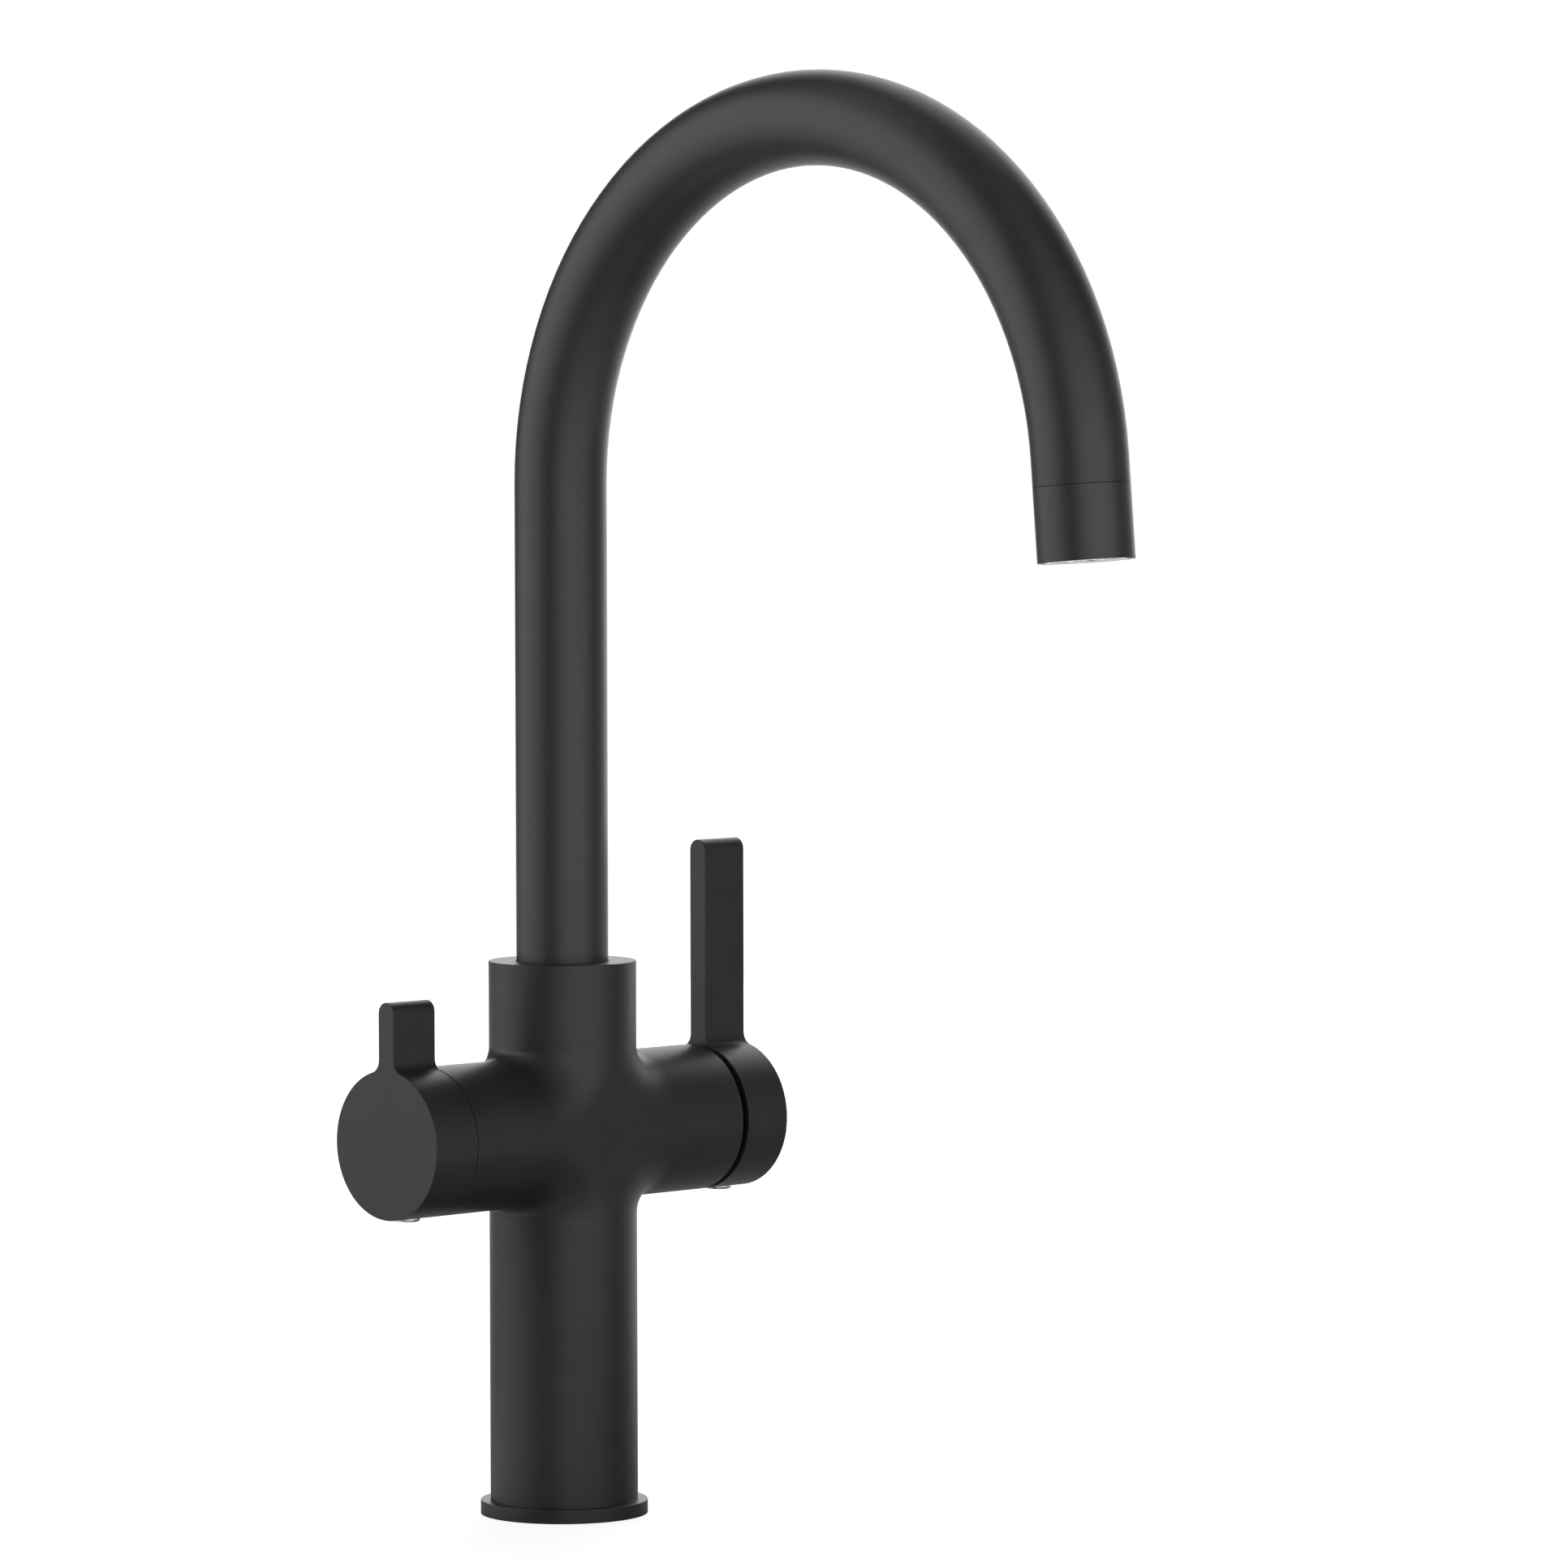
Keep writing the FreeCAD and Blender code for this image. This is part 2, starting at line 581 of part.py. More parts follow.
def headwork_pieces():
    """Quarter-turn ceramic valve for the filtered water, made about +Z and laid along -X."""
    seal_end = filter_seat + seat_seal_thickness
    fixed_end = seal_end + filter_disc_thickness
    moving_low = fixed_end + film
    collar_low = moving_low + filter_disc_thickness
    collar_end = collar_low + spindle_collar_length
    shoulder = collar_end + 2 * film
    gasket_low = barrel_half_length - headwork_recess_depth
    flange_low = gasket_low + headwork_gasket_thickness
    neck_low = flange_low + headwork_flange_thickness
    neck_end = neck_low + headwork_neck_length
    nose = headwork_nose_diameter / 2
    bore = headwork_bore_diameter / 2
    thread = headwork_core_diameter / 2 - fit
    spindle_radius = spindle_diameter / 2
    guide = spindle_radius + running_fit
    neck = headwork_neck_diameter / 2
    seat_seal = ring(waterway_radius, nose, filter_seat, seal_end)
    valve = turned([
        (bore, seal_end), (nose, seal_end), (nose, shoulder + headwork_web),
        (thread, shoulder + headwork_web), (thread, flange_low), (thread, neck_low),
        (neck, neck_low), (neck, neck_end), (guide, neck_end), (guide, shoulder), (bore, shoulder),
    ])
    corner = headwork_flange_flats / math.sqrt(3)
    turns = [math.pi * count / 3 for count in range(7)]
    corners = [at(corner * math.cos(turn), corner * math.sin(turn), flange_low) for turn in turns]
    flange = Part.Face(Part.makePolygon(corners)).extrude(headwork_flange_thickness * Z_AXIS)
    flange = flange.cut(drill(at(0, 0, flange_low), at(0, 0, neck_low), guide))
    valve = valve.fuse(flange).removeSplitter()
    window = spindle_collar_length - 2 * clearance
    valve = valve.cut(Part.makeBox(2 * nose, bore, window, at(-nose, -bore / 2, collar_low + clearance)))
    gasket = ring(thread, headwork_flange_flats / 2, gasket_low, flange_low)
    ports = filter_disc_port_diameter / 2
    fixed = drill(at(0, 0, seal_end), at(0, 0, fixed_end), bore - fit)
    moving = drill(at(0, 0, moving_low), at(0, 0, collar_low), bore - clearance)
    for side in (-1, 1):
        shift = side * filter_disc_port_spread
        fixed = fixed.cut(drill(at(shift, 0, seal_end), at(shift, 0, fixed_end), ports))
        moving = moving.cut(drill(at(0, shift, moving_low), at(0, shift, collar_low), ports))
    ring_floor = spindle_radius - spindle_ring_groove
    ring_half = (guide - film - ring_floor) / 2
    ring_at = (shoulder + neck_end) / 2
    clip_low = neck_end + 2 * film
    clip_end = clip_low + clip_thickness
    end_radius = spindle_end_diameter / 2
    clip_floor = end_radius - clip_thickness / 2
    spindle = turned([
        (0, collar_low), (bore - clearance, collar_low), (bore - clearance, collar_end),
        (spindle_radius, collar_end), (spindle_radius, ring_at - ring_half - fit),
        (ring_floor, ring_at - ring_half - fit), (ring_floor, ring_at + ring_half + fit),
        (spindle_radius, ring_at + ring_half + fit), (spindle_radius, clip_low - film),
        (clip_floor, clip_low - film), (clip_floor, clip_end + film), (end_radius, clip_end + film),
        (end_radius, spindle_end), (0, spindle_end),
    ])
    flat_low = clip_end + clip_thickness
    flat = Part.makeBox(spindle_end_diameter, spindle_end_diameter, spindle_end - flat_low,
                        at(-end_radius - spindle_end_diameter + spindle_flat_depth, -end_radius, flat_low))
    clip = ring(clip_floor, clip_diameter / 2, clip_low, clip_end)
    clip_mouth = Part.makeBox(clip_diameter, 2 * clip_floor, clip_thickness, at(0, -clip_floor, clip_low))
    pieces = {
        "filter_seat_seal": seat_seal, "filter_valve_body": valve, "filter_valve_gasket": gasket,
        "filter_fixed_disc": fixed, "filter_moving_disc": moving, "filter_spindle": spindle.cut(flat),
        "filter_spindle_ring": o_ring(ring_floor, guide - film, ring_at),
        "filter_spindle_clip": clip.cut(clip_mouth),
    }
    return {name: laid_on_barrel(shape, -1) for name, shape in pieces.items()}


def keyhole(x, tab_rise):
    """Handle outline square to the barrel: a disc with an upright tab, round at the root and the top."""
    half = tab_thickness / 2
    root_y = half + tab_root_radius
    root_z = math.sqrt((body_radius + tab_root_radius) ** 2 - root_y ** 2)
    share = body_radius / (body_radius + tab_root_radius)
    turn_in = math.atan2(root_z, root_y) / 2

    def point(y, z):
        return on_barrel(x, y, z)

    def root(side):
        middle_y = root_y - tab_root_radius * math.cos(turn_in)
        middle_z = root_z - tab_root_radius * math.sin(turn_in)
        disc_point = point(side * root_y * share, root_z * share)
        return Part.Arc(disc_point, point(side * middle_y, middle_z), point(side * half, root_z))

    top = tab_rise - half
    edges = [
        Part.Arc(point(root_y * share, root_z * share), point(0, -body_radius),
                 point(-root_y * share, root_z * share)),
        root(-1),
        Part.LineSegment(point(-half, root_z), point(-half, top)),
        Part.Arc(point(-half, top), point(0, tab_rise), point(half, top)),
        Part.LineSegment(point(half, top), point(half, root_z)),
        root(1),
    ]
    return Part.Face(Part.Wire(Part.__sortEdges__([edge.toShape() for edge in edges])))


def handle(side, near, tab_rise, cavity_depth, boss_depth):
    """A cast handle with a hollow back round its boss, and a screw hole on its underside."""
    far = near + handle_width
    blank = keyhole(side * near, tab_rise).extrude(side * handle_width * X_AXIS)
    blank = rounded_rims(blank, edge_break, X_AXIS, (side * near, side * far))
    cavity = along_barrel(side * near, side * (near + cavity_depth), body_radius - handle_skirt)
    boss = along_barrel(side * (near + boss_depth), side * (near + cavity_depth), handle_boss_diameter / 2)
    screw_x = side * (near + screw_inset)
    hole = drill(on_barrel(screw_x), on_barrel(screw_x, 0, -body_diameter), screw_diameter / 2 + fit)
    seat = on_barrel(screw_x, 0, -plug_seat())
    spot = drill(seat, seat - body_diameter * Z_AXIS, plug_diameter / 2 + fit)
    return blank.cut([cavity.cut(boss), hole, spot])


def plug_seat():
    """Depth of the flat spot under the plug, below the barrel's axis."""
    return math.sqrt(body_radius ** 2 - (plug_diameter / 2 + fit) ** 2)


def screw_and_plug(side, near, screw_top):
    """Grub screw up to the stem or spindle, and the plug that hides its hole."""
    x = side * (near + screw_inset)
    low = screw_top + screw_length
    screw = drill(on_barrel(x, 0, -screw_top), on_barrel(x, 0, -low), screw_diameter / 2)
    corner = screw_socket_flats / math.sqrt(3)
    turns = [math.pi * count / 3 for count in range(7)]
    corners = [on_barrel(x + corner * math.cos(turn), corner * math.sin(turn), -low) for turn in turns]
    socket = Part.Face(Part.makePolygon(corners)).extrude(screw_socket_depth * Z_AXIS)
    seat = plug_seat()
    plug = drill(on_barrel(x, 0, -seat), on_barrel(x, 0, -seat - plug_thickness), plug_diameter / 2)
    plug = rounded_rims(plug, edge_break, Z_AXIS, (barrel_height - seat - plug_thickness,))
    stem_top = on_barrel(x, 0, -seat + plug_stem_length)
    plug = plug.fuse(drill(on_barrel(x, 0, -seat), stem_top, screw_diameter / 2))
    return screw.cut(socket), plug.removeSplitter()


def handle_pieces():
    barrel_rim = barrel_half_length - pivot_x
    rim_depth = body_radius * math.sin(tilt) - barrel_rim * (1 - math.cos(tilt)) - mixer_gap
    boss_reach = math.sqrt((dome_radius + 2 * clearance) ** 2 - (handle_boss_diameter / 2) ** 2)
    boss_depth = pivot_x + boss_reach - mixer_near
    mixer = handle(1, mixer_near, mixer_tab_rise, rim_depth + clearance, boss_depth)
    half = stem_width / 2 + fit
    mixer = mixer.cut(block(mixer_near, stem_end, half, -half, half))
    lever = handle(-1, filter_near, filter_tab_rise, filter_cavity_depth, 0)
    lever = lever.cut(along_barrel(-filter_near, -spindle_end, spindle_end_diameter / 2 + fit))
    mixer_screw, mixer_plug = screw_and_plug(1, mixer_near, screw_start)
    filter_screw, filter_plug = screw_and_plug(-1, filter_near, spindle_end_diameter / 2 - spindle_flat_depth)
    return {
        "mixer_handle": mixer, "mixer_grub_screw": mixer_screw, "mixer_plug": mixer_plug,
        "filter_handle": lever, "filter_grub_screw": filter_screw, "filter_plug": filter_plug,
    }


nodes = {"body_casting": body_casting()}
nodes["base_ring"], nodes["base_seal"] = base_ring()
nodes.update(spout_pieces())
nodes.update(nozzle_pieces())
nodes.update(cartridge_pieces())
nodes.update(lever_works())
nodes.update(headwork_pieces())
nodes.update(handle_pieces())

os.makedirs("parts", exist_ok=True)
for name, shape in nodes.items():
    shape.exportStep("parts/" + name + ".step")
    print(name, "solids", len(shape.Solids), "volume", round(shape.Volume, 1), "valid", shape.isValid())
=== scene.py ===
import bmesh
import bpy
import math
from mathutils import Matrix, Vector


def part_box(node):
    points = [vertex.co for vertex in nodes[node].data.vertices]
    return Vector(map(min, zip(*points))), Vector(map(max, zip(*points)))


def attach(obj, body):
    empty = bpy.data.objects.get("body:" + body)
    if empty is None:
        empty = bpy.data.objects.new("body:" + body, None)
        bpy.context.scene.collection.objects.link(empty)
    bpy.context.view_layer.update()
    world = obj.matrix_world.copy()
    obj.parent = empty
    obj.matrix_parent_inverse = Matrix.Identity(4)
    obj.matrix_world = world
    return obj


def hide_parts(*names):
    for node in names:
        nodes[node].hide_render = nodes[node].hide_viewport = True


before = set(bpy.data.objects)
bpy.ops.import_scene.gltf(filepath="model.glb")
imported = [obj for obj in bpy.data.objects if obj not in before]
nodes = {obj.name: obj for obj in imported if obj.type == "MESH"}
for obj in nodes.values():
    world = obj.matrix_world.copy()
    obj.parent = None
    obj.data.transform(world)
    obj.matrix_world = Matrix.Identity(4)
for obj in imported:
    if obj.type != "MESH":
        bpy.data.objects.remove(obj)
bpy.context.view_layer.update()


# Base seal: a rubber ring in the groove under the base ring, which keeps water on the worktop
# from running into the tap hole. Moulded nitrile, dull, with a faint grey bloom in its skin.

def new_finish(name, roughness, metallic=0.0):
    """A new material with its principled shader, and the object coordinates its patterns use."""
    material = bpy.data.materials.new(name)
    material.use_nodes = True
    tree = material.node_tree
    shader = tree.nodes["Principled BSDF"]
    shader.inputs["Roughness"].default_value = roughness
    shader.inputs["Metallic"].default_value = metallic
    place = tree.nodes.new("ShaderNodeTexCoord").outputs["Object"]
    return material, tree, shader, place


def noise(tree, place, scale, detail=2.0):
    """Fine noise in the piece's own space, scale in grains per metre."""
    node = tree.nodes.new("ShaderNodeTexNoise")
    node.inputs["Scale"].default_value = scale
    node.inputs["Detail"].default_value = detail
    tree.links.new(place, node.inputs["Vector"])
    return node.outputs["Fac"]


def tones(tree, value, dark, light):
    """Spreads the middle of a noise pattern, where most of it lies, between two colours."""
    pattern_span = (0.35, 0.65)
    ramp = tree.nodes.new("ShaderNodeValToRGB")
    for stop, position, colour in zip(ramp.color_ramp.elements, pattern_span, (dark, light)):
        stop.position = position
        stop.color = (*colour, 1.0)
    tree.links.new(value, ramp.inputs["Fac"])
    return ramp.outputs["Color"]


def spread(tree, value, low, high):
    """Spreads the middle of a noise pattern, where most of it lies, between two numbers."""
    pattern_span = (0.3, 0.7)
    node = tree.nodes.new("ShaderNodeMapRange")
    node.inputs["From Min"].default_value = pattern_span[0]
    node.inputs["From Max"].default_value = pattern_span[1]
    node.inputs["To Min"].default_value = low
    node.inputs["To Max"].default_value = high
    tree.links.new(value, node.inputs["Value"])
    return node.outputs["Result"]


def relief(tree, value, depth, strength, under=None):
    """Turns a pattern into surface relief, on top of another relief if there is one."""
    node = tree.nodes.new("ShaderNodeBump")
    node.inputs["Distance"].default_value = depth
    node.inputs["Strength"].default_value = strength
    tree.links.new(value, node.inputs["Height"])
    if under is not None:
        tree.links.new(under, node.inputs["Normal"])
    return node.outputs["Normal"]


def finish_nodes(material, *names):
    """Gives a material to pieces that keep their CAD shape."""
    for name in names:
        nodes[name].data.materials.clear()
        nodes[name].data.materials.append(material)


rubber, tree, shader, place = new_finish("nitrile_rubber", roughness=0.7)
bloom = noise(tree, place, scale=340.0, detail=4.0)
rubber_colour = tones(tree, bloom, dark=(0.018, 0.018, 0.018), light=(0.034, 0.034, 0.033))
tree.links.new(rubber_colour, shader.inputs["Base Color"])
tree.links.new(spread(tree, bloom, low=0.62, high=0.8), shader.inputs["Roughness"])
rubber_skin = relief(tree, noise(tree, place, scale=5200.0), depth=0.00002, strength=0.4)
tree.links.new(rubber_skin, shader.inputs["Normal"])
finish_nodes(rubber, "base_seal")


# Base ring: a flat collar between the column and the worktop, turned from brass and
# powder-coated matt black with the rest of the tap. The column's spigot drops into it.

cast_shine = 0.45


def powder_coat(name, shine):
    """Matt black powder coat: a satin grain over a faint orange peel."""
    material, tree, shader, place = new_finish(name, roughness=0.45)
    shader.inputs["Specular IOR Level"].default_value = shine
    clouds = noise(tree, place, scale=90.0)
    colour = tones(tree, clouds, dark=(0.0125, 0.0125, 0.0128), light=(0.0155, 0.0155, 0.0158))
    grain = noise(tree, place, scale=2600.0)
    dullness = spread(tree, grain, low=0.42, high=0.48)
    waves = noise(tree, place, scale=420.0, detail=1.0)
    peel = relief(tree, waves, depth=0.00002, strength=0.2)
    surface = relief(tree, grain, depth=0.00001, strength=0.3, under=peel)
    tree.links.new(surface, shader.inputs["Normal"])
    return material, tree, shader, place, colour, dullness


def coat_all_over(name, shine):
    """Powder coat on the whole of a piece."""
    material, tree, shader, place, colour, dullness = powder_coat(name, shine)
    tree.links.new(colour, shader.inputs["Base Color"])
    tree.links.new(dullness, shader.inputs["Roughness"])
    return material


matt_black = coat_all_over("matt_black_powder_coat", cast_shine)
finish_nodes(matt_black, "base_ring")


# Body: one brass casting with the column, the barrel and the blend between them. It is coated
# outside; its bores, inlets and valve seats are machined afterwards and show bare brass.

barrel_height = 0.1175
bare_radius = 0.0213
bare_top = 0.1686
bare_half_length = 0.0546


def arithmetic(tree, operation, first, second):
    """A math node between two sockets, or a socket and a number."""
    node = tree.nodes.new("ShaderNodeMath")
    node.operation = operation
    for socket, value in zip(node.inputs, (first, second)):
        if isinstance(value, float):
            socket.default_value = value
        else:
            tree.links.new(value, socket)
    return node.outputs["Value"]


def distance_from_axis(tree, place, keep, shift):
    """How far a point lies from an axis: the length of its place's part that is square to it."""
    mapping = tree.nodes.new("ShaderNodeMapping")
    mapping.inputs["Location"].default_value = shift
    mapping.inputs["Scale"].default_value = keep
    tree.links.new(place, mapping.inputs["Vector"])
    length = tree.nodes.new("ShaderNodeVectorMath")
    length.operation = "LENGTH"
    tree.links.new(mapping.outputs["Vector"], length.inputs[0])
    return length.outputs["Value"]


def blended(tree, kind, share, first, second):
    """Mixes two colours (RGBA) or two numbers (FLOAT) by a pattern."""
    node = tree.nodes.new("ShaderNodeMix")
    node.data_type = kind
    tree.links.new(share, node.inputs["Factor"])
    tree.links.new(first, node.inputs["A"])
    tree.links.new(second, node.inputs["B"])
    return node.outputs["Result"]


coating = powder_coat("coated_brass_casting", cast_shine)
coated_casting, tree, shader, place, coat_colour, coat_dullness = coating
from_column = distance_from_axis(tree, place, keep=(1.0, 1.0, 0.0), shift=(0.0, 0.0, 0.0))
to_barrel = (0.0, 0.0, -barrel_height)
from_barrel = distance_from_axis(tree, place, keep=(0.0, 1.0, 1.0), shift=to_barrel)
from_axes = arithmetic(tree, "MINIMUM", from_column, from_barrel)
under_coat = arithmetic(tree, "LESS_THAN", from_axes, bare_radius)
apart = tree.nodes.new("ShaderNodeSeparateXYZ")
tree.links.new(place, apart.inputs["Vector"])
below_top = arithmetic(tree, "LESS_THAN", apart.outputs["Z"], bare_top)
between_ends = arithmetic(tree, "COMPARE", apart.outputs["X"], 0.0)
between_ends.node.inputs[2].default_value = bare_half_length
in_bores = arithmetic(tree, "MULTIPLY", below_top, between_ends)
bare = arithmetic(tree, "MULTIPLY", under_coat, in_bores)
cutter_marks = noise(tree, place, scale=1500.0, detail=3.0)
brass_colour = tones(tree, cutter_marks, dark=(0.60, 0.42, 0.17), light=(0.74, 0.55, 0.27))
brass_dullness = spread(tree, cutter_marks, low=0.22, high=0.36)
casting_colour = blended(tree, "RGBA", bare, coat_colour, brass_colour)
casting_dullness = blended(tree, "FLOAT", bare, coat_dullness, brass_dullness)
tree.links.new(casting_colour, shader.inputs["Base Color"])
tree.links.new(casting_dullness, shader.inputs["Roughness"])
tree.links.new(bare, shader.inputs["Metallic"])
finish_nodes(coated_casting, "body_casting")


# Mixer cartridge: a moulded acetal capsule with two lapped ceramic discs and rubber port seals,
# pressed into the mixer side of the barrel by a slotted brass nut. The lever's stem is brass,
# painted dark as shade because it crosses the open gap behind the handle.

rings_along_barrel = (1.0, 0.02, 0.02)
rings_along_pin = (0.1, 1.0, 0.1)
turned_brass_dark = (0.62, 0.44, 0.19)
turned_brass_light = (0.75, 0.56, 0.28)
turned_brass_dullness = 0.26

acetal, tree, shader, place = new_finish("moulded_acetal", roughness=0.42)
flow_lines = noise(tree, place, scale=160.0, detail=3.0)
acetal_colour = tones(tree, flow_lines, dark=(0.74, 0.74, 0.71), light=(0.80, 0.80, 0.77))
tree.links.new(acetal_colour, shader.inputs["Base Color"])
tree.links.new(spread(tree, flow_lines, low=0.36, high=0.48), shader.inputs["Roughness"])
acetal_skin = relief(tree, noise(tree, place, scale=3000.0), depth=0.00002, strength=0.25)
tree.links.new(acetal_skin, shader.inputs["Normal"])
finish_nodes(acetal, "cartridge_base", "cartridge_housing", "cartridge_turret", "disc_carrier")

ceramic, tree, shader, place = new_finish("lapped_ceramic", roughness=0.2)
crystals = noise(tree, place, scale=2200.0, detail=4.0)
ceramic_colour = tones(tree, crystals, dark=(0.83, 0.82, 0.78), light=(0.89, 0.88, 0.85))
tree.links.new(ceramic_colour, shader.inputs["Base Color"])
tree.links.new(spread(tree, crystals, low=0.14, high=0.26), shader.inputs["Roughness"])
finish_nodes(ceramic, "cartridge_fixed_disc", "cartridge_moving_disc")
finish_nodes(rubber, "cartridge_port_seals")


def turned_metal(name, along, dark, light, dullness):
    """Bare metal with the fine rings that a lathe leaves round one axis."""
    dullness_swing = 0.06
    material, tree, shader, place = new_finish(name, roughness=dullness, metallic=1.0)
    stretch = tree.nodes.new("ShaderNodeMapping")
    stretch.inputs["Scale"].default_value = along
    tree.links.new(place, stretch.inputs["Vector"])
    rings = noise(tree, stretch.outputs["Vector"], scale=5000.0)
    ring_dullness = spread(tree, rings, dullness - dullness_swing, dullness + dullness_swing)
    tree.links.new(tones(tree, rings, dark, light), shader.inputs["Base Color"])
    tree.links.new(ring_dullness, shader.inputs["Roughness"])
    tree.links.new(relief(tree, rings, depth=0.00002, strength=0.3), shader.inputs["Normal"])
    return material


barrel_brass = turned_metal("brass_turned_along_barrel", rings_along_barrel,
                            turned_brass_dark, turned_brass_light, turned_brass_dullness)
# Painted shade: the brass stem is coloured near black, as dark as the gap it crosses.
brass_painted_dark_as_shade = turned_metal("brass_painted_dark_as_shade", rings_along_barrel,
                               dark=(0.030, 0.028, 0.026), light=(0.054, 0.049, 0.043),
                               dullness=0.36)
steel = turned_metal("stainless_steel", rings_along_pin,
                     dark=(0.52, 0.52, 0.52), light=(0.64, 0.64, 0.63), dullness=0.28)
finish_nodes(barrel_brass, "cartridge_nut")
finish_nodes(brass_painted_dark_as_shade, "mixer_stem")
finish_nodes(steel, "lever_pin")


# Mixer dome: a thin moulded cover over the nut, round about the lever's pin, so that it stays
# close to the handle while the handle tilts. Satin black plastic.

black_plastic, tree, shader, place = new_finish("satin_black_plastic", roughness=0.4)
streaks = noise(tree, place, scale=120.0)
plastic_colour = tones(tree, streaks, dark=(0.024, 0.024, 0.025), light=(0.034, 0.034, 0.035))
tree.links.new(plastic_colour, shader.inputs["Base Color"])
mould_texture = noise(tree, place, scale=4200.0)
tree.links.new(spread(tree, mould_texture, low=0.34, high=0.46), shader.inputs["Roughness"])
plastic_skin = relief(tree, mould_texture, depth=0.00001, strength=0.4)
tree.links.new(plastic_skin, shader.inputs["Normal"])
finish_nodes(black_plastic, "mixer_dome")


# Filtered-water headwork: a quarter-turn brass valve screwed into the other side of the barrel,
# with its own ceramic discs, a spindle held by a spring clip, and rubber seals.

finish_nodes(barrel_brass, "filter_valve_body", "filter_spindle")
finish_nodes(ceramic, "filter_fixed_disc", "filter_moving_disc")
finish_nodes(rubber, "filter_seat_seal", "filter_valve_gasket", "filter_spindle_ring")
finish_nodes(steel, "filter_spindle_clip")


# Spout: a bent brass tube, soldered on a turned tail that turns in the column between an acetal
# bush and a snap ring. A thin inner tube carries the filtered water. The coat lies smoother on
# the drawn tube than on the castings, and shines a little more.

rings_along_column = (0.02, 0.02, 1.0)
tube_shine = 0.56

column_brass = turned_metal("brass_turned_along_column", rings_along_column,
                            turned_brass_dark, turned_brass_light, turned_brass_dullness)
tube_coat = coat_all_over("tube_powder_coat", tube_shine)
finish_nodes(tube_coat, "spout_tube")
finish_nodes(column_brass, "spout_tail")
finish_nodes(acetal, "spout_bush", "spout_snap_ring", "filter_tube")
finish_nodes(rubber, "spout_tail_rings", "filter_tube_seal")


# Nozzle: a turned brass sleeve on the spout's end, coated with it, with a plain seam against the
# tube. It holds the aerator, a black moulded housing with a separate outlet in its middle.

finish_nodes(tube_coat, "nozzle")
finish_nodes(rubber, "nozzle_seal", "aerator_washer")
finish_nodes(black_plastic, "aerator_housing")


# Aerator screen: a stainless plate, stamped with a grid of windows between its plain rim and the
# ring round the middle outlet. It is pressed into the mouth of the nozzle, flush with its end.

outlet_turn = math.radians(175.0)
plate_inner = 0.0041
grid_inner = 0.00535
grid_outer = 0.0103
plate_outer = 0.0118
plate_low = 0.00041
plate_thickness = 0.00054
grid_rows = 5
grid_steps = 48
grid_bar = 0.00013

plate = bmesh.new()
radii = (plate_inner, grid_inner, grid_outer, plate_outer)
spoke = [plate.verts.new((radius, 0.0, plate_low)) for radius in radii]
spans = [plate.edges.new(ends) for ends in zip(spoke, spoke[1:])]
grid_span = spans[1]
bmesh.ops.subdivide_edges(plate, edges=[grid_span], cuts=grid_rows - 1)
bmesh.ops.spin(plate, geom=plate.verts[:] + plate.edges[:], cent=(0.0, 0.0, 0.0),
               axis=(0.0, 0.0, 1.0), angle=2 * math.pi, steps=grid_steps, use_merge=True)
windows = [face for face in plate.faces
           if grid_inner < face.calc_center_median().xy.length < grid_outer]
bmesh.ops.inset_individual(plate, faces=windows, thickness=grid_bar)
bmesh.ops.delete(plate, geom=windows, context="FACES")
bars = bmesh.ops.extrude_face_region(plate, geom=plate.faces[:], use_keep_orig=True)
raised = [item for item in bars["geom"] if isinstance(item, bmesh.types.BMVert)]
bmesh.ops.translate(plate, verts=raised, vec=(0.0, 0.0, plate_thickness))
bmesh.ops.recalc_face_normals(plate, faces=plate.faces[:])
low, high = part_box("aerator_screen")
middle = (Vector(low) + Vector(high)) / 2
into_nozzle = Matrix.Translation(middle) @ Matrix.Rotation(outlet_turn, 4, "X")
bmesh.ops.transform(plate, verts=plate.verts[:], matrix=into_nozzle)
grid_mesh = bpy.data.meshes.new("aerator_grid")
plate.to_mesh(grid_mesh)
plate.free()
grid_mesh.materials.append(steel)
aerator_grid = bpy.data.objects.new("aerator_grid", grid_mesh)
bpy.context.scene.collection.objects.link(aerator_grid)
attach(aerator_grid, "spout")
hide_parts("aerator_screen")


# Handles: cast and coated like the body. The mixer's long lever and the filtered-water lever
# are each fixed by a grub screw from below.

finish_nodes(matt_black, "mixer_handle", "filter_handle")
finish_nodes(steel, "mixer_grub_screw", "filter_grub_screw")


# Plugs: small caps with a rounded rim, plated in black chrome and pressed into the screw holes
# under both handles. They are the only polished pieces on the outside.

plug_radius = 0.0041
plug_head = 0.0011
plug_stem_radius = 0.0025
plug_rounding = 0.0008
plug_sides = 64
rounding_steps = 8
sharpest_smooth_edge = math.radians(35.0)

gloss_black, tree, shader, place = new_finish("polished_black_chrome", roughness=0.09,
                                              metallic=1.0)
polish = noise(tree, place, scale=300.0)
chrome_colour = tones(tree, polish, dark=(0.64, 0.64, 0.65), light=(0.72, 0.72, 0.73))
tree.links.new(chrome_colour, shader.inputs["Base Color"])
tree.links.new(spread(tree, polish, low=0.06, high=0.14), shader.inputs["Roughness"])


